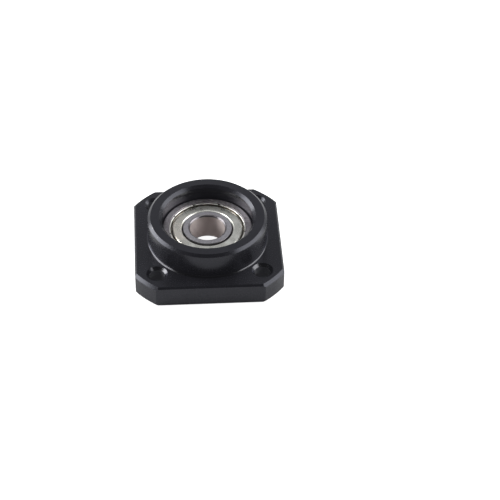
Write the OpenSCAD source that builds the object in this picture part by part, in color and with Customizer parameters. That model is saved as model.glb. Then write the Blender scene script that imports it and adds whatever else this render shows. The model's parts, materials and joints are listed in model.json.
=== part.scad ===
// Ball screw end support: a square-flange housing that carries one shielded deep groove ball bearing.
// The bore axis is Z. The flange's back face lies on Z = 0 and the pilot boss points up.

/* [Flange] */
// Width across the flats of the square flange
flange_w = 42; // [41:0.5:46]
// Thickness of the flange
flange_t = 7; // [6:0.5:10]
// Diameter that the four corners are turned to
corner_d = 52; // [51.5:0.5:56]
// Bevel turned on the round corners, on both faces
corner_bevel = 0.8; // [0.6:0.1:1.2]
// Edge break milled along the four flats, on both faces
flat_bevel = 0.5; // [0.2:0.1:0.6]

/* [Pilot boss] */
// Diameter of the boss that locates the support in its plate
boss_d = 34; // [33:0.5:36]
// Height of the boss above the flange
boss_h = 8; // [7:0.5:12]
// Bevel on the boss's outer rim
rim_bevel = 0.75; // [0.3:0.05:1]
// Radius that the turning tool leaves where the boss meets the flange
root_r = 0.5; // [0.2:0.05:0.6]

/* [Bearing seat] */
// Radial clearance between the bearing and its seat
seat_clear = 0.01; // [0.005:0.005:0.03]
// Thickness of the lip that the bearing sits against
lip_t = 2.5; // [1.5:0.25:3.5]
// Bore of the lip
lip_d = 22; // [21:0.5:23.5]
// Bevel on the lip's back edge
lip_bevel = 0.5; // [0.2:0.1:0.8]
// Lead-in bevel at the mouth of the seat
mouth_bevel = 0.8; // [0.3:0.1:1.2]

/* [Screw holes] */
// Pitch circle of the four screw holes
pcd = 42; // [41:0.25:43]
// Clearance hole for the screw
screw_d = 4.5; // [4:0.1:5]
// Bevel of the screw hole on the boss side
screw_bevel = 0.75; // [0.2:0.05:1]
// Counterbore for the screw head, on the back face
head_d = 8; // [7:0.1:8.2]
// Depth of the counterbore
head_depth = 4; // [3:0.25:4.5]

/* [Bearing rings] */
// Bore of the inner ring, for the screw's journal
bore_d = 10; // [9:0.5:11]
// Outside diameter of the bearing
bearing_d = 26; // [25.5:0.5:27.5]
// Width of both rings
bearing_w = 8; // [7.5:0.25:9]
// Radius at both ends of the bore
bore_round = 0.6; // [0.3:0.05:0.65]
// Corner radius on the outside of the outer ring
ring_round = 0.5; // [0.3:0.05:0.6]
// Depth of both ball grooves
groove_depth = 0.78; // [0.6:0.02:0.9]
// Groove radius as a share of the ball's diameter
groove_fit = 0.52; // [0.51:0.005:0.54]

/* [Balls and cage] */
// Diameter of each ball
ball_d = 4.762; // [4.4:0.001:4.9]
// Number of balls
ball_count = 7; // [6:1:8]
// Radial running clearance of a ball in each groove
ball_clear = 0.02; // [0.01:0.005:0.04]
// Clearance of a ball in its cage pocket
pocket_clear = 0.1; // [0.05:0.01:0.15]
// Sheet thickness of the cage
cage_t = 0.35; // [0.25:0.05:0.4]
// Width of the cage's ribbon, measured along the radius
cage_w = 1.9; // [1.6:0.1:2]
// Diameter of a cage rivet's shank
rivet_d = 0.7; // [0.5:0.05:0.8]
// Diameter of a cage rivet's head
rivet_head_d = 1.3; // [1:0.1:1.4]
// Height of a cage rivet's head
rivet_head_h = 0.3; // [0.2:0.05:0.4]
// Clearance of the rivets in their holes
rivet_clear = 0.02; // [0.01:0.01:0.05]

/* [Shields] */
// Sheet thickness of the shields
shield_t = 0.3; // [0.2:0.05:0.3]
// Depth of the shield's flat band below the faces of the rings
shield_sink = 0.25; // [0.15:0.05:0.35]
// Radial gap between the shield and the inner ring
shield_gap = 0.2; // [0.1:0.05:0.3]
// Bend radius of the shield's inner lip
lip_bend = 0.65; // [0.4:0.05:0.7]
// Bend radius of the flat band's outer edge
band_bend = 0.35; // [0.3:0.05:0.4]
// Width of the sunk groove inside the curled rim
rim_groove_w = 0.6; // [0.5:0.05:0.7]
// Width of the curled rim
curl_w = 0.34; // [0.26:0.01:0.4]
// Radius along both edges of the curled rim
curl_edge = 0.08; // [0.05:0.01:0.12]
// How far the shield's foot reaches under the outer ring's edge
foot_reach = 0.32; // [0.2:0.02:0.4]
// Number of notches in the curled rim
notch_count = 9; // [6:1:12]
// Width of each notch
notch_w = 0.6; // [0.3:0.05:0.8]
// Angle of the first notch
notch_turn = 29.5; // [0:0.5:40]

/* [Hidden] */
$fn = 96;
cut = 1;
top_z = flange_t + boss_h;
boss_r = boss_d / 2;
corner_r = corner_d / 2;
lip_r = lip_d / 2;
bearing_r = bearing_d / 2;
seat_r = bearing_r + seat_clear;
bore_r = bore_d / 2;
face_z = lip_t + bearing_w;
mid_z = lip_t + bearing_w / 2;
hole_angles = [45, 135, 225, 315];

pitch_r = (bore_r + bearing_r) / 2;
ball_r = ball_d / 2;
groove_r = groove_fit * ball_d;
inner_groove_bottom = pitch_r - ball_r - ball_clear;
outer_groove_bottom = pitch_r + ball_r + ball_clear;
inner_land_r = inner_groove_bottom + groove_depth;
outer_land_r = outer_groove_bottom - groove_depth;
ball_step = 360 / ball_count;
pocket_r = ball_r + pocket_clear;

// Shield stations along the radius, from the outer ring inwards, and depths below the ring face
foot_clear = 0.05;
foot_seat_r = outer_land_r + 0.71;
foot_r = foot_seat_r - foot_clear;
curl_out_r = foot_r - foot_reach;
mouth_r = curl_out_r + foot_clear;
curl_in_r = curl_out_r - curl_w;
band_out_r = curl_in_r - rim_groove_w;
step_r = inner_land_r - 0.4;
shield_bore_r = step_r + shield_gap;
lip_bend_depth = shield_sink + lip_bend;
lip_depth = lip_bend_depth + 0.1;
band_bend_depth = shield_sink + band_bend;
rim_groove_depth = band_bend_depth + 0.1;
foot_depth = rim_groove_depth + rim_groove_w / 2 + shield_t;
foot_lift = foot_depth - shield_t;
curl_rise = 0.05;
curl_depth = shield_sink - curl_rise + curl_edge;
step_depth = foot_depth + 0.05;
edge_break = 0.05;

ball_names = [for (i = [1:ball_count]) str("ball_", i)];

// Points along an arc, from angle a0 to angle a1
function arc(x, y, r, a0, a1, n = 8) =
    [for (i = [0:n]) [x + r * cos(a0 + (a1 - a0) * i / n), y + r * sin(a0 + (a1 - a0) * i / n)]];

// Half section of the turned blank: flange corners, boss, seat and lip
function housing_section() = concat(
    [[lip_r + lip_bevel, 0], [corner_r - corner_bevel, 0], [corner_r, corner_bevel]],
    [[corner_r, flange_t - corner_bevel], [corner_r - corner_bevel, flange_t]],
    arc(boss_r + root_r, flange_t + root_r, root_r, 270, 180),
    [[boss_r, top_z - rim_bevel], [boss_r - rim_bevel, top_z]],
    [[seat_r + mouth_bevel, top_z], [seat_r, top_z - mouth_bevel]],
    [[seat_r, lip_t], [lip_r, lip_t], [lip_r, lip_bevel]]
);

// What the mill takes off one side of the blank, seen along the flat
function flat_cut_section() = [
    [flange_w / 2 - flat_bevel - cut, -cut],
    [flange_w / 2, flat_bevel],
    [flange_w / 2, flange_t - flat_bevel],
    [flange_w / 2 - flat_bevel - cut, flange_t + cut],
    [corner_r + cut, flange_t + cut],
    [corner_r + cut, -cut]
];

// Half section of the outer ring from its mid plane to its face, before the ball groove is ground
function outer_ring_half() = concat(
    arc(bearing_r - ring_round, bearing_w / 2 - ring_round, ring_round, 0, 90),
    [[mouth_r + edge_break, bearing_w / 2], [mouth_r, bearing_w / 2 - edge_break]],
    [[mouth_r, bearing_w / 2 - foot_lift + foot_clear], [foot_seat_r, bearing_w / 2 - foot_lift]],
    [[foot_seat_r, bearing_w / 2 - foot_depth], [outer_land_r, bearing_w / 2 - foot_depth]]
);

// Half section of the inner ring from its mid plane to its face, before the ball groove is ground
function inner_ring_half() = concat(
    [[inner_land_r, bearing_w / 2 - step_depth], [step_r, bearing_w / 2 - step_depth]],
    [[step_r, bearing_w / 2 - edge_break], [step_r - edge_break, bearing_w / 2]],
    arc(bore_r + bore_round, bearing_w / 2 - bore_round, bore_round, 90, 180)
);

// Section of the pressed shield: heights are measured from the ring face, down is negative
function shield_section() = concat(
    [[shield_bore_r, -lip_depth]],
    arc(shield_bore_r + lip_bend, -lip_bend_depth, lip_bend, 180, 90),
    arc(band_out_r - band_bend, -band_bend_depth, band_bend, 90, 0, 6),
    arc(band_out_r + rim_groove_w / 2, -rim_groove_depth, rim_groove_w / 2, 180, 360),
    arc(curl_in_r + curl_edge, -curl_depth, curl_edge, 180, 90, 3),
    arc(curl_out_r - curl_edge, -curl_depth, curl_edge, 90, 0, 3),
    [[curl_out_r, -foot_lift], [foot_r, -foot_lift], [foot_r, -foot_depth]],
    [[band_out_r + 0.05, -foot_depth], [band_out_r - shield_t, -foot_lift]],
    arc(band_out_r - band_bend, -band_bend_depth, band_bend - shield_t, 0, 90, 2),
    arc(shield_bore_r + lip_bend, -lip_bend_depth, lip_bend - shield_t, 90, 180, 4),
    [[shield_bore_r + shield_t, -lip_depth]]
);

module ball_places() {
    for (i = [0:ball_count - 1])
        rotate([0, 0, i * ball_step])
            translate([pitch_r, 0, 0])
                children();
}

module rivet_places() {
    for (i = [0:ball_count - 1])
        rotate([0, 0, (i + 0.5) * ball_step])
            translate([pitch_r, 0, 0])
                children();
}

module screw_hole() {
    translate([0, 0, -cut])
        cylinder(d = screw_d, h = flange_t + 2 * cut);
    translate([0, 0, -cut])
        cylinder(d = head_d, h = head_depth + cut);
    translate([0, 0, flange_t - screw_bevel])
        cylinder(d1 = screw_d, d2 = screw_d + 2 * (screw_bevel + cut), h = screw_bevel + cut);
}

module housing() {
    color([0.13, 0.13, 0.14])
        difference() {
            rotate_extrude()
                polygon(housing_section());
            for (a = [0:90:270])
                rotate([90, 0, a])
                    translate([0, 0, -corner_r])
                        linear_extrude(height = corner_d)
                            polygon(flat_cut_section());
            for (a = hole_angles)
                rotate([0, 0, a])
                    translate([pcd / 2, 0, 0])
                        screw_hole();
        }
}

// A ring turned from its half section, mirrored about the bearing's mid plane
module ring_blank(half) {
    rotate_extrude()
        polygon(concat(half, [for (i = [len(half) - 1:-1:0]) if (half[i].y > 0) [half[i].x, -half[i].y]]));
}

// The ball groove: a torus round the ring
module ball_groove(centre_r) {
    rotate_extrude()
        translate([centre_r, 0])
            circle(r = groove_r);
}

module outer_ring() {
    color([0.62, 0.60, 0.63])
        translate([0, 0, mid_z])
            difference() {
                ring_blank(outer_ring_half());
                ball_groove(outer_groove_bottom - groove_r);
            }
}

module inner_ring() {
    color([0.66, 0.65, 0.67])
        translate([0, 0, mid_z])
            difference() {
                ring_blank(inner_ring_half());
                ball_groove(inner_groove_bottom + groove_r);
            }
}

// A pressed shield whose curled rim is notched, with the ring's face at Z = 0
module shield() {
    difference() {
        rotate_extrude()
            polygon(shield_section());
        for (i = [0:notch_count - 1])
            rotate([0, 0, notch_turn + i * 360 / notch_count])
                translate([curl_in_r, -notch_w / 2, -foot_lift])
                    cube([curl_w + cut, notch_w, foot_lift]);
    }
}

module front_shield() {
    color([0.66, 0.66, 0.60])
        translate([0, 0, face_z])
            shield();
}

module back_shield() {
    color([0.66, 0.66, 0.60])
        translate([0, 0, lip_t])
            mirror([0, 0, 1])
                shield();
}

module ribbon(height) {
    difference() {
        cylinder(r = pitch_r + cage_w / 2, h = height);
        translate([0, 0, -cut])
            cylinder(r = pitch_r - cage_w / 2, h = height + 2 * cut);
    }
}

// One pressed half of the cage, from the mid plane up
module cage_half() {
    difference() {
        intersection() {
            union() {
                ribbon(cage_t);
                ball_places()
                    sphere(r = pocket_r + cage_t);
            }
            ribbon(pocket_r + cage_t + cut);
        }
        ball_places()
            sphere(r = pocket_r);
        rivet_places()
            translate([0, 0, -cut])
                cylinder(r = rivet_d / 2 + rivet_clear, h = cage_t + 2 * cut);
    }
}

module cage_front() {
    color([0.72, 0.70, 0.66])
        translate([0, 0, mid_z])
            cage_half();
}

module cage_back() {
    color([0.72, 0.70, 0.66])
        translate([0, 0, mid_z])
            mirror([0, 0, 1])
                cage_half();
}

// Domed head of a cage rivet, from the outside of the ribbon
module rivet_head() {
    dome_r = (rivet_head_d * rivet_head_d / 4 + rivet_head_h * rivet_head_h) / (2 * rivet_head_h);
    half_angle = asin(rivet_head_d / 2 / dome_r);
    translate([0, 0, cage_t])
        rotate_extrude()
            polygon(concat([[0, 0]], arc(0, rivet_head_h - dome_r, dome_r, 90 - half_angle, 90, 6)));
}

module cage_rivets() {
    color([0.78, 0.76, 0.72])
        translate([0, 0, mid_z])
            rivet_places() {
                translate([0, 0, -cage_t])
                    cylinder(d = rivet_d, h = 2 * cage_t);
                rivet_head();
                mirror([0, 0, 1])
                    rivet_head();
            }
}

module ball(i) {
    color([0.80, 0.80, 0.82])
        rotate([0, 0, (i - 1) * ball_step])
            translate([pitch_r, 0, mid_z])
                sphere(d = ball_d);
}

housing();
outer_ring();
inner_ring();
front_shield();
back_shield();
cage_front();
cage_back();
cage_rivets();
for (i = [1:ball_count]) ball(i);
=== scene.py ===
import json
import math

import bpy
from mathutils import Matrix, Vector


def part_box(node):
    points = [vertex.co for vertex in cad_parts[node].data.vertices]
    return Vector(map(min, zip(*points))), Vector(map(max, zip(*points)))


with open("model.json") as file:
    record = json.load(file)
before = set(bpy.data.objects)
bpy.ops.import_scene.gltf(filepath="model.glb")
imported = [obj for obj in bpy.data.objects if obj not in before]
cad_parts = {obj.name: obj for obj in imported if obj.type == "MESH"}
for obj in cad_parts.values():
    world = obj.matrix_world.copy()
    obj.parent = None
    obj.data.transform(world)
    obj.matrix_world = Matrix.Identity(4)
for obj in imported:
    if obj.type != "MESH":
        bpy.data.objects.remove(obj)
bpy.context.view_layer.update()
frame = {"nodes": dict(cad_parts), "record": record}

# ---------------------------------------------------------------- camera
# A long lens over the front edge of the flange looks down into the bearing, as catalogues show such parts.
# The tone is plain, with the slight veil that a bright table throws into the lens.
SENSOR_WIDTH = 36.0
LENS_LENGTH = 113.45
LENS_PLACE = (-0.0141914, -0.3374671, 0.3096623)
LENS_TURN = (47.6545, -0.83738, -3.7318)
NEAR_LIMIT = 0.01
VEIL = (-0.0045, -0.0045, -0.0053)
scene = bpy.context.scene
camera_data = bpy.data.cameras.new("camera")
camera_data.sensor_width = SENSOR_WIDTH
camera_data.lens = LENS_LENGTH
camera_data.clip_start = NEAR_LIMIT
camera = bpy.data.objects.new("camera", camera_data)
camera.location = LENS_PLACE
camera.rotation_euler = [math.radians(turn) for turn in LENS_TURN]
scene.collection.objects.link(camera)
scene.camera = camera
scene.view_settings.view_transform = "Standard"
scene.view_settings.use_curve_mapping = True
scene.view_settings.curve_mapping.black_level = VEIL

# ---------------------------------------------------------------- studio
# A large soft box stands on each side, with a smaller one that leans in over the table beside it, and a
# long narrow strip hangs nearly overhead. The room is pale low down behind the part, and dark above and in
# front of it.
ROOM_COLOR = (0.96, 0.97, 1.0)
ROOM_DARKEST = 0.05
# The axis of each fade, where it starts and ends, and its strength there. The two are multiplied.
ROOM_FADES = (
    ("Y", -0.2, 0.6, 0.0, 1.0),
    ("Z", 0.60, 0.75, 0.61, 0.08),
)
room = bpy.data.worlds.new("studio")
scene.world = room
room.use_nodes = True
room_tree = room.node_tree
direction = room_tree.nodes.new("ShaderNodeTexCoord")
direction_parts = room_tree.nodes.new("ShaderNodeSeparateXYZ")
room_light = room_tree.nodes.new("ShaderNodeMath")
room_light.operation = "MULTIPLY_ADD"
room_light.inputs[2].default_value = ROOM_DARKEST
room_tree.links.new(direction.outputs["Generated"], direction_parts.inputs["Vector"])
for place, (axis, start, end, first, last) in enumerate(ROOM_FADES):
    fade = room_tree.nodes.new("ShaderNodeMapRange")
    fade.interpolation_type = "SMOOTHSTEP"
    fade.inputs["From Min"].default_value = start
    fade.inputs["From Max"].default_value = end
    fade.inputs["To Min"].default_value = first
    fade.inputs["To Max"].default_value = last
    room_tree.links.new(direction_parts.outputs[axis], fade.inputs["Value"])
    room_tree.links.new(fade.outputs["Result"], room_light.inputs[place])
room_wall = room_tree.nodes["Background"]
room_wall.inputs["Color"].default_value = (*ROOM_COLOR, 1)
room_tree.links.new(room_light.outputs["Value"], room_wall.inputs["Strength"])


def soft_box(name, azimuth, elevation, distance, across, up, radiance):
    """A rectangular light that faces the part, and fills these angles across and up as seen from there."""
    data = bpy.data.lights.new(name, "AREA")
    data.shape = "RECTANGLE"
    data.size = 2 * distance * math.tan(math.radians(across / 2))
    data.size_y = 2 * distance * math.tan(math.radians(up / 2))
    data.energy = radiance * math.pi * data.size * data.size_y
    lamp = bpy.data.objects.new(name, data)
    turn, rise = math.radians(azimuth), math.radians(elevation)
    lamp.location = (
        distance * math.cos(rise) * math.cos(turn),
        distance * math.cos(rise) * math.sin(turn),
        distance * math.sin(rise),
    )
    lamp.rotation_euler = (math.radians(90 - elevation), 0, math.radians(azimuth + 90))
    scene.collection.objects.link(lamp)


soft_box("left_low_box", azimuth=171, elevation=20.5, distance=0.7, across=56, up=26, radiance=8.6)
soft_box("left_high_box", azimuth=148, elevation=54, distance=0.7, across=28, up=18, radiance=7.0)
soft_box("right_low_box", azimuth=0, elevation=33, distance=0.7, across=56, up=35, radiance=4.5)
soft_box("right_high_box", azimuth=34, elevation=56, distance=0.7, across=24, up=16, radiance=2.2)
soft_box("top_strip", azimuth=90, elevation=79, distance=0.8, across=84, up=6, radiance=4.4)

# ---------------------------------------------------------------- table
# A sheet of satin white acrylic that reaches far past what the lens sees. It is lit a little from below, so
# it stays white to the lens under the part too, while the part mirrors its shaded side.
TABLE_REACH = 4.0
ACRYLIC_WHITE = (0.6, 0.6, 0.6)
ACRYLIC_ROUGH = 0.3
GLOW_COLOR = (1, 1, 1)
GLOW_TO_PART = 0.14
GLOW_TO_LENS = 0.93
table_corners = [(x * TABLE_REACH, y * TABLE_REACH, 0) for x, y in ((-1, -1), (1, -1), (1, 1), (-1, 1))]
table_mesh = bpy.data.meshes.new("table")
table_mesh.from_pydata(table_corners, [], [(0, 1, 2, 3)])
table = bpy.data.objects.new("table", table_mesh)
scene.collection.objects.link(table)
acrylic = bpy.data.materials.new("white_acrylic")
acrylic.use_nodes = True
acrylic_tree = acrylic.node_tree
acrylic_shader = acrylic_tree.nodes["Principled BSDF"]
acrylic_shader.inputs["Base Color"].default_value = (*ACRYLIC_WHITE, 1)
acrylic_shader.inputs["Roughness"].default_value = ACRYLIC_ROUGH
acrylic_shader.inputs["Emission Color"].default_value = (*GLOW_COLOR, 1)
ray_kind = acrylic_tree.nodes.new("ShaderNodeLightPath")
backlight = acrylic_tree.nodes.new("ShaderNodeMapRange")
backlight.inputs["To Min"].default_value = GLOW_TO_PART
backlight.inputs["To Max"].default_value = GLOW_TO_LENS
acrylic_tree.links.new(ray_kind.outputs["Is Camera Ray"], backlight.inputs["Value"])
acrylic_tree.links.new(backlight.outputs["Result"], acrylic_shader.inputs["Emission Strength"])
table_mesh.materials.append(acrylic)

# ---------------------------------------------------------------- housing
# One steel billet, turned on the boss, seat and corners and milled along four flats, then blacked: an oxide
# skin a few microns thick under a film of oil. Lathe and cutter leave fine lines, and the holes keep dust.
# The skin is rubbed bright at two nicks on its rim. The boss's root and the holes' edges beside it carry
# painted highlight, a brighter bare-steel finish.
OXIDE_DARK = (0.0068, 0.0068, 0.0086)
OXIDE_PALE = (0.0094, 0.0094, 0.0116)
OXIDE_ROUGH = (0.22, 0.28)
OIL_IOR = 1.43
OIL_TINT = (0.86, 0.88, 1.0)
RIM_ROUGH = 0.19
SEAT_ROUGH = 0.18
ROOT_ROUGH = 0.15
# Painted highlight: the boss's root and the holes' edges beside it get a brighter bare-steel finish.
ROOT_PAINTED_HIGHLIGHT = (0.058, 0.058, 0.062)
HOLE_EDGE_PAINTED_HIGHLIGHT = (0.072, 0.072, 0.076)
HOLE_DUST = (0.09, 0.092, 0.10)
NICK_STEEL = (0.11, 0.11, 0.11)
# The place and size of each nick, the share of it that is quite bare, and how far its edge wanders.
NICKS = (
    (-0.01562, -0.00448, 0.0150, 0.00026),
    (-0.01440, -0.00830, 0.0146, 0.00010),
)
NICK_CORE = 0.7
NICK_RAGGED = 0.3
# Lines, clouds and specks are counted per metre. The cutter draws its lines out along X and Y.
LATHE_LINES = 5200
CUTTER_LINES = 5600
CUTTER_DRAW = (0.03, 0.03, 1)
CLOUDS = 220
SPECKS = 2600
LINE_ROUGH = 0.01
LINE_DEPTH = 0.0000006
# The width over which one finish turns into the next, where nothing else is said.
HAIR = 0.00002
ACROSS = (1, 1, 0)
# The screw heads' and bevelled edges' radii, how deep the edge reaches, where the painted highlight on the
# edges ends, and the root.
HEAD_R = 0.0040
HOLE_EDGE_R = 0.0030
HOLE_EDGE_DEPTH = 0.0008
HOLE_EDGE_FADE = 0.0001
EDGE_HIGHLIGHT_R = 0.0203
EDGE_HIGHLIGHT_FADE = 0.0007
ROOT_R = 0.0005
mounts = {mount["name"]: mount for mount in frame["record"]["mounts"]}
housing_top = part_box("housing")[1]
bearing_low, bearing_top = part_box("outer_ring")
boss_r = mounts["pilot_boss"]["dims"]["r_mm"] / 1000
flange_z = mounts["flange_face"]["pos_m"][2]
hole_x = mounts["screw_holes"]["dims"]["pcd_mm"] / 2000 * math.cos(math.radians(45))


class Steel:
    """A steel's material and nodes, and a point's place: its radius from the axis, its height, and both."""

    PATCH_DETAIL = 3
    GRAIN_DETAIL = 2
    NOISE_LOW = 0.3
    NOISE_HIGH = 0.7
    ROUND_THE_AXIS = 0.25

    def __init__(self, name, metallic):
        self.material = bpy.data.materials.new(name)
        self.material.use_nodes = True
        self.tree = self.material.node_tree
        self.shader = self.tree.nodes["Principled BSDF"]
        self.shader.inputs["Metallic"].default_value = metallic
        self.point = self.tree.nodes.new("ShaderNodeTexCoord").outputs["Object"]
        self.x, _, self.height = self.parts(self.point)
        self.radius = self.distance(self.point, (0, 0, 0), ACROSS)
        combined = self.tree.nodes.new("ShaderNodeCombineXYZ")
        self.tree.links.new(self.radius, combined.inputs["X"])
        self.tree.links.new(self.height, combined.inputs["Z"])
        self.section = combined.outputs["Vector"]

    def parts(self, vector):
        """The three parts of a vector."""
        node = self.tree.nodes.new("ShaderNodeSeparateXYZ")
        self.tree.links.new(vector, node.inputs["Vector"])
        return node.outputs["X"], node.outputs["Y"], node.outputs["Z"]

    def vector_math(self, operation, first, second=(0, 0, 0)):
        """A vector and a fixed one, put through one operation."""
        node = self.tree.nodes.new("ShaderNodeVectorMath")
        node.operation = operation
        node.inputs[1].default_value = second
        self.tree.links.new(first, node.inputs[0])
        return node.outputs["Value" if operation == "LENGTH" else "Vector"]

    def distance(self, vector, place, along=(1, 1, 1)):
        """How far a vector ends from a place, counted only along the given axes."""
        offset = self.vector_math("SUBTRACT", vector, place)
        return self.vector_math("LENGTH", self.vector_math("MULTIPLY", offset, along))

    def join(self, operation, first, *others):
        """Two or more values, put through one operation."""
        for other in others:
            node = self.tree.nodes.new("ShaderNodeMath")
            node.operation = operation
            self.tree.links.new(first, node.inputs[0])
            self.tree.links.new(other, node.inputs[1])
            first = node.outputs["Value"]
        return first

    def span(self, value, start, end, first=0.0, last=1.0, kind="LINEAR"):
        """A value that goes from first to last while another goes from start to end."""
        node = self.tree.nodes.new("ShaderNodeMapRange")
        node.interpolation_type = kind
        for socket, number in (("From Min", start), ("From Max", end), ("To Min", first), ("To Max", last)):
            node.inputs[socket].default_value = number
        self.tree.links.new(value, node.inputs["Value"])
        return node.outputs["Result"]

    def past(self, value, edge, fade=HAIR):
        """1 past an edge, and 0 short of it by the fade."""
        return self.span(value, edge - fade, edge)

    def short_of(self, value, edge, fade=HAIR):
        """1 short of an edge, and 0 past it by the fade."""
        return self.span(value, edge, edge + fade, 1, 0)

    def grain(self, vector, per_metre):
        """A noise of fine grains or lines, with a given number per metre along the vector."""
        return self.noise(vector, per_metre, self.GRAIN_DETAIL)

    def patches(self, per_metre):
        """A noise of soft patches, with a given number per metre."""
        return self.noise(self.point, per_metre, self.PATCH_DETAIL)

    def noise(self, vector, per_metre, detail):
        """A smooth noise, finer with more detail."""
        node = self.tree.nodes.new("ShaderNodeTexNoise")
        node.inputs["Scale"].default_value = per_metre
        node.inputs["Detail"].default_value = detail
        self.tree.links.new(vector, node.inputs["Vector"])
        return node.outputs["Fac"]

    def spread(self, noise, first=0.0, last=1.0):
        """A noise, which keeps near its middle, spread over the whole range from first to last."""
        return self.span(noise, self.NOISE_LOW, self.NOISE_HIGH, first, last)

    def mix(self, factor, first, second):
        """A blend of two colours or two values, each an output, a tuple or a number."""
        colors = isinstance(first, tuple) or isinstance(second, tuple)
        kind = "RGBA" if colors else "VALUE"
        node = self.tree.nodes.new("ShaderNodeMix")
        node.data_type = "RGBA" if colors else "FLOAT"
        self.tree.links.new(factor, node.inputs[0])
        ends = [socket for socket in node.inputs if socket.type == kind and socket.name in ("A", "B")]
        for socket, value in zip(ends, (first, second)):
            if isinstance(value, tuple):
                socket.default_value = (*value, 1)
            elif isinstance(value, (int, float)):
                socket.default_value = value
            else:
                self.tree.links.new(value, socket)
        return [socket for socket in node.outputs if socket.type == kind][0]

    def feed(self, socket, value):
        """Gives the shader a value that changes over the surface."""
        self.tree.links.new(value, self.shader.inputs[socket])

    def emboss(self, height, depth):
        """Raises the surface by up to a depth in metres."""
        node = self.tree.nodes.new("ShaderNodeBump")
        node.inputs["Distance"].default_value = depth
        self.tree.links.new(height, node.inputs["Height"])
        self.feed("Normal", node.outputs["Normal"])

    def stretch_shine(self, amount):
        """Spreads the shine across the rings that a wheel or tool leaves round the axis."""
        around = self.tree.nodes.new("ShaderNodeTangent")
        around.direction_type = "RADIAL"
        around.axis = "Z"
        self.shader.inputs["Anisotropic"].default_value = amount
        self.shader.inputs["Anisotropic Rotation"].default_value = self.ROUND_THE_AXIS
        self.feed("Tangent", around.outputs["Tangent"])

    def dress(self, *nodes):
        """Gives this steel to pieces of the part."""
        for node in nodes:
            mesh = frame["nodes"][node].data
            mesh.materials.clear()
            mesh.materials.append(self.material)


oxide = Steel("black_oxide", metallic=0.0)
oxide.shader.inputs["IOR"].default_value = OIL_IOR
oxide.shader.inputs["Specular Tint"].default_value = (*OIL_TINT, 1)
quarter = oxide.vector_math("ABSOLUTE", oxide.point)
quarter_x, quarter_y, _ = oxide.parts(quarter)
on_flat = oxide.past(oxide.join("MAXIMUM", quarter_x, quarter_y), housing_top.x - HAIR)
lathe_lines = oxide.grain(oxide.section, LATHE_LINES)
cutter_lines = oxide.grain(oxide.vector_math("MULTIPLY", oxide.point, CUTTER_DRAW), CUTTER_LINES)
tool_lines = oxide.mix(on_flat, lathe_lines, cutter_lines)
specks = oxide.grain(oxide.point, SPECKS)

from_hole = oxide.distance(quarter, (hole_x, hole_x, 0), ACROSS)
edge_z = flange_z - HOLE_EDGE_DEPTH
in_screw_hole = oxide.join(
    "MULTIPLY",
    oxide.short_of(from_hole, HEAD_R + HAIR),
    oxide.short_of(oxide.height, edge_z - HOLE_EDGE_FADE, HOLE_EDGE_FADE),
)
on_hole_edge = oxide.join(
    "MULTIPLY",
    oxide.short_of(from_hole, HOLE_EDGE_R + HAIR),
    oxide.past(oxide.height, edge_z + HOLE_EDGE_FADE, HOLE_EDGE_FADE),
    oxide.short_of(oxide.height, flange_z - 2 * HAIR),
    oxide.short_of(oxide.radius, EDGE_HIGHLIGHT_R, EDGE_HIGHLIGHT_FADE),
)
in_root = oxide.join(
    "MULTIPLY",
    oxide.past(oxide.radius, boss_r + HAIR),
    oxide.short_of(oxide.radius, boss_r + ROOT_R - 2 * HAIR),
    oxide.past(oxide.height, flange_z - HAIR),
)
skin = oxide.mix(oxide.spread(oxide.patches(CLOUDS)), OXIDE_DARK, OXIDE_PALE)
skin = oxide.mix(in_screw_hole, skin, HOLE_DUST)
# Painted highlight on the holes' edges beside the boss and in the boss's root.
skin = oxide.mix(on_hole_edge, skin, HOLE_EDGE_PAINTED_HIGHLIGHT)
skin = oxide.mix(in_root, skin, ROOT_PAINTED_HIGHLIGHT)
# Bare steel at the nicks, and painted highlight in the root and on the holes' edges.
bare_and_painted_shine = oxide.join("MAXIMUM", on_hole_edge, in_root)
for x, y, z, size in NICKS:
    ragged = oxide.spread(specks, -NICK_RAGGED * size, NICK_RAGGED * size)
    from_nick = oxide.join("ADD", oxide.distance(oxide.point, (x, y, z)), ragged)
    on_nick = oxide.short_of(from_nick, NICK_CORE * size, (1 - NICK_CORE) * size)
    skin = oxide.mix(on_nick, skin, NICK_STEEL)
    bare_and_painted_shine = oxide.join("MAXIMUM", bare_and_painted_shine, on_nick)
oxide.feed("Base Color", skin)
oxide.feed("Metallic", bare_and_painted_shine)

rough = oxide.join(
    "ADD",
    oxide.spread(specks, *OXIDE_ROUGH),
    oxide.spread(tool_lines, -LINE_ROUGH, LINE_ROUGH),
)
rough = oxide.mix(oxide.past(oxide.height, housing_top.z - HAIR), rough, RIM_ROUGH)
rough = oxide.mix(in_root, rough, ROOT_ROUGH)
rough = oxide.mix(oxide.past(oxide.radius, bearing_top.x + 3 * HAIR), SEAT_ROUGH, rough)
oxide.feed("Roughness", rough)
oxide.emboss(tool_lines, LINE_DEPTH)
oxide.dress("housing")

# ---------------------------------------------------------------- outer ring
# Chrome steel, hardened right through and ground: the wheel leaves fine rings on the face, which has a dull
# violet tinge from the oil baked on it. Painted shade darkens the corner beside the seat and the stepped
# mouth beside the shield.
OUTER_DARK = (0.26, 0.24, 0.25)
OUTER_PALE = (0.41, 0.385, 0.41)
OUTER_ROUGH = (0.30, 0.40)
OUTER_SHINE = 0.6
RING_STAINS = 1500
WHEEL_LINES = 6500
WHEEL_DEPTH = 0.0000018
# Painted shade on the ring's corner beside the seat.
CORNER_PAINTED_SHADE = (0.06, 0.055, 0.06)
CORNER_SHADE_WIDTH = 0.00022
CORNER_SHADE_FADE = 0.0002
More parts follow.
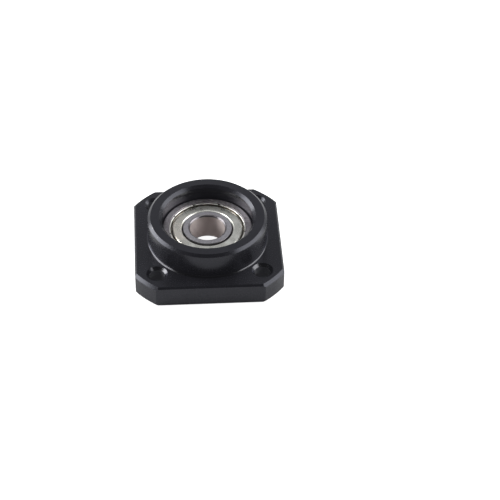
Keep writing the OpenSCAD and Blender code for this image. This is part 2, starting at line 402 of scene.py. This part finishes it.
# Painted shade in the stepped mouth beside the shield.
MOUTH_PAINTED_SHADE = (0.03, 0.027, 0.024)
MOUTH_R = 0.01104
MOUTH_DEPTH = 0.00015
MOUTH_FADE = 0.00005
ALONG_AXIS = (0, 0, 1)
middle_z = (bearing_low.z + bearing_top.z) / 2
half_width = bearing_top.z - middle_z
outer = Steel("outer_ring_steel", metallic=1.0)
stains = outer.patches(RING_STAINS)
from_middle = outer.distance(outer.point, (0, 0, middle_z), ALONG_AXIS)
in_mouth = outer.join(
    "MULTIPLY",
    outer.short_of(from_middle, half_width - MOUTH_DEPTH, MOUTH_FADE),
    outer.short_of(outer.radius, MOUTH_R),
)
face = outer.mix(outer.spread(stains), OUTER_DARK, OUTER_PALE)
# Painted shade on the corner beside the seat.
face = outer.mix(outer.past(outer.radius, bearing_top.x - CORNER_SHADE_WIDTH, CORNER_SHADE_FADE), face, CORNER_PAINTED_SHADE)
# Painted shade in the stepped mouth.
outer.feed("Base Color", outer.mix(in_mouth, face, MOUTH_PAINTED_SHADE))
outer.feed("Roughness", outer.spread(stains, *OUTER_ROUGH))
outer.emboss(outer.grain(outer.section, WHEEL_LINES), WHEEL_DEPTH)
outer.stretch_shine(OUTER_SHINE)
outer.dress("outer_ring")

# ---------------------------------------------------------------- inner ring
# The same steel and grinding. The faces are brighter than the outer ring's, for they are wiped when the
# support is handled. The bore is honed, a browner and duller surface. Its rounded ends and the faces' outer
# edges carry painted shade that dims their highlights.
INNER_DARK = (0.44, 0.425, 0.45)
INNER_PALE = (0.56, 0.545, 0.575)
INNER_ROUGH = (0.16, 0.24)
INNER_SHINE = 0.7
BORE_STEEL = (0.54, 0.48, 0.465)
BORE_ROUGH = 0.58
BORE_FADE = 0.00004
BORE_ROUND = 0.0006
# Painted shade on the bore's rounded ends and the faces' outer edges, dimming their highlights.
EDGE_PAINTED_SHADE = (0.20, 0.19, 0.20)
EDGE_ROUGH = 0.28
EDGE_FADE = 0.0001
FACE_OUT_R = 0.00692
bore_r = mounts["shaft_bore"]["dims"]["r_mm"] / 1000
inner = Steel("inner_ring_steel", metallic=1.0)
stains = inner.patches(RING_STAINS)
in_bore = inner.short_of(inner.radius, bore_r + HAIR, BORE_FADE)
on_face = inner.join(
    "MULTIPLY",
    inner.past(inner.radius, bore_r + BORE_ROUND, EDGE_FADE),
    inner.short_of(inner.radius, FACE_OUT_R),
)
face = inner.mix(inner.spread(stains), INNER_DARK, INNER_PALE)
# Painted shade on the bore's rounded ends and the faces' outer edges.
face = inner.mix(on_face, EDGE_PAINTED_SHADE, face)
rough = inner.mix(on_face, EDGE_ROUGH, inner.spread(stains, *INNER_ROUGH))
inner.feed("Base Color", inner.mix(in_bore, face, BORE_STEEL))
inner.feed("Roughness", inner.mix(in_bore, rough, BORE_ROUGH))
inner.emboss(inner.grain(inner.section, WHEEL_LINES), WHEEL_DEPTH)
inner.stretch_shine(INNER_SHINE)
inner.dress("inner_ring")

# ---------------------------------------------------------------- shields
# Bright zinc-plated strip, pressed to a dished washer and rolled over at the rim, where nine notches let it
# snap into the outer ring's groove. Handling leaves a mottled film on the band, with painted warm
# reflection at its left. Painted shade darkens the sunk groove between band and rim, and the rolled rim's
# colour is painted brighter than the band as a painted highlight.
BAND_DULL = (0.68, 0.68, 0.62)
BAND_BRIGHT = (0.86, 0.855, 0.80)
BAND_ROUGH = (0.24, 0.34)
BAND_IN_R = 0.0079
BAND_OUT_R = 0.0096
BAND_FADE = 0.0001
BAND_FILM = 420
# Painted warm reflection on the band's left side.
PAINTED_WARM_REFLECTION = (0.84, 0.79, 0.70)
PAINTED_WARM_X = (-0.0055, -0.0085)
PAINTED_WARM_SPREAD = (0.2, 0.6)
BEND_ROUGH = 0.15
LIP_R = 0.00775
LIP_ROUGH = 0.28
# Painted shade in the sunk groove between band and rim.
GROOVE_PAINTED_SHADE = (0.17, 0.155, 0.13)
GROOVE_R = 0.00995
GROOVE_DEPTH = 0.0005
# The rolled rim's colour is painted brighter than the band, a painted highlight.
CURL_STEEL_AND_PAINTED_HIGHLIGHT = (0.95, 0.94, 0.90)
CURL_ROUGH = 0.34
CURL_IN_R = 0.01062
CURL_OUT_R = 0.01096
CURL_BEAD = 0.00005
shield = Steel("shield_steel", metallic=1.0)
film = shield.patches(BAND_FILM)
from_middle = shield.distance(shield.point, (0, 0, middle_z), ALONG_AXIS)
on_band = shield.join(
    "MULTIPLY",
    shield.past(shield.radius, BAND_IN_R, BAND_FADE),
    shield.short_of(shield.radius, BAND_OUT_R, BAND_FADE),
)
on_lip = shield.short_of(shield.radius, LIP_R, BAND_FADE)
on_curl = shield.past(shield.radius, CURL_IN_R)
in_groove = shield.join(
    "MULTIPLY",
    shield.short_of(from_middle, half_width - GROOVE_DEPTH, BAND_FADE),
    shield.past(shield.radius, GROOVE_R, BAND_FADE),
)
# Painted warm reflection: the mottled film is tinted warm at the band's left.
painted_warm = shield.join(
    "MULTIPLY",
    shield.span(shield.x, *PAINTED_WARM_X, kind="SMOOTHSTEP"),
    shield.span(film, *PAINTED_WARM_SPREAD),
)
face = shield.mix(shield.spread(film), BAND_DULL, BAND_BRIGHT)
face = shield.mix(painted_warm, face, PAINTED_WARM_REFLECTION)
# Painted highlight: the rolled rim gets its brighter colour.
face = shield.mix(on_curl, face, CURL_STEEL_AND_PAINTED_HIGHLIGHT)
# Painted shade in the groove.
shield.feed("Base Color", shield.mix(in_groove, face, GROOVE_PAINTED_SHADE))
rough = shield.mix(on_lip, BEND_ROUGH, LIP_ROUGH)
rough = shield.mix(on_curl, rough, CURL_ROUGH)
shield.feed("Roughness", shield.mix(on_band, rough, shield.spread(film, *BAND_ROUGH)))
curl_top_r = (CURL_IN_R + CURL_OUT_R) / 2
bead = shield.join(
    "MULTIPLY",
    shield.span(shield.radius, CURL_IN_R, curl_top_r, kind="SMOOTHERSTEP"),
    shield.span(shield.radius, curl_top_r, CURL_OUT_R, 1, 0, "SMOOTHERSTEP"),
)
shield.emboss(bead, CURL_BEAD)
shield.dress("front_shield", "back_shield")

# ---------------------------------------------------------------- cage and rivets
# Two ribbons of cold-rolled strip, pressed to pockets and riveted together between the balls. The press
# leaves a faint drag in the pockets, and the grease a patchy film.
STRIP_DULL = (0.42, 0.40, 0.36)
STRIP_BRIGHT = (0.60, 0.58, 0.53)
STRIP_ROUGH = (0.30, 0.45)
STRIP_FILM = 900
PRESS_DRAG = 5000
PRESS_DEPTH = 0.000004
strip = Steel("cage_strip", metallic=1.0)
film = strip.spread(strip.patches(STRIP_FILM))
strip.feed("Base Color", strip.mix(film, STRIP_DULL, STRIP_BRIGHT))
strip.feed("Roughness", strip.mix(film, *STRIP_ROUGH))
strip.emboss(strip.grain(strip.point, PRESS_DRAG), PRESS_DEPTH)
strip.dress("cage_front", "cage_back", "cage_rivets")

# ---------------------------------------------------------------- balls
# Lapped chrome steel balls, mirror bright under a thin film of grease.
# They lie in the cage's pockets and roll in the grooves of both rings.
BALL_DULL = (0.66, 0.66, 0.68)
BALL_BRIGHT = (0.76, 0.76, 0.78)
BALL_ROUGH = (0.06, 0.14)
BALL_FILM = 700
ball = Steel("ball_steel", metallic=1.0)
film = ball.spread(ball.patches(BALL_FILM))
ball.feed("Base Color", ball.mix(film, BALL_DULL, BALL_BRIGHT))
ball.feed("Roughness", ball.mix(film, *BALL_ROUGH))
ball.dress(*(node for node in frame["nodes"] if node.startswith("ball_")))
